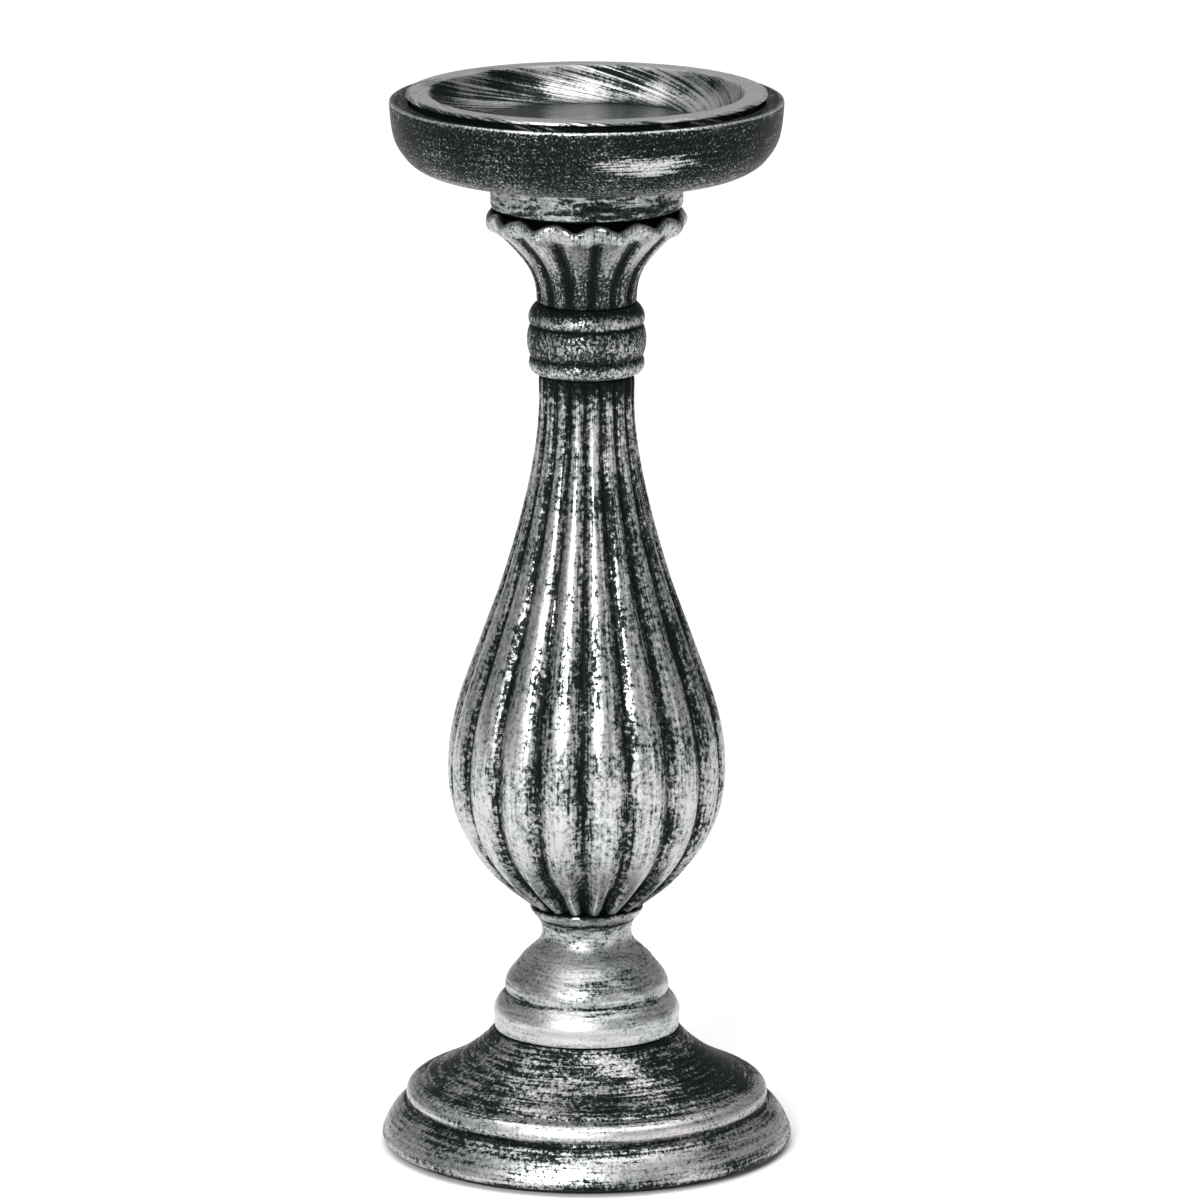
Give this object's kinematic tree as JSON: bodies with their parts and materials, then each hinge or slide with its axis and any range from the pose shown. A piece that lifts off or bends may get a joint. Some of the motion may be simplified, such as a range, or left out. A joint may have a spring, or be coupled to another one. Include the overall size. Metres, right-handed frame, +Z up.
{
  "type": "pillar candlestick",
  "caption": "Tall turned candlestick with a fluted vase, beaded collar, leaf capital and round tray that holds a lift-out candle cup.",
  "frame": {"origin": "middle of the felt's underside, where the candlestick stands", "axes": "+Z up along the turning axis, -Y towards the side that was pictured, +X to its right"},
  "size_m": [0.1172, 0.1172, 0.305],
  "materials": {
    "silvered_wood": "black paint with silver brushed dry over it",
    "blackened_wood": "black paint with a light sponging of silver",
    "zinc_steel": "zinc plated",
    "plate_steel": "satin, darkened",
    "black_felt": "felt"
  },
  "bodies": {
    "candlestick": {"felt_pad": "black_felt", "foot": "silvered_wood", "foot_nut": "zinc_steel", "lock_washer": "zinc_steel", "foot_washer": "zinc_steel", "knop": "silvered_wood", "vase": "silvered_wood", "collar": "silvered_wood", "capital": "silvered_wood", "drum": "silvered_wood", "tray": "blackened_wood", "tray_washer": "zinc_steel", "tray_nut": "zinc_steel", "tie_rod": "zinc_steel"},
    "cup": {"candle_cup": "silvered_wood", "drip_plate": "plate_steel"}
  },
  "joints": [
    {"name": "cup_lift", "type": "slide", "parent": "candlestick", "child": "cup", "axis": [0, 0, 1], "range_m": [0, 0.05]}
  ]
}
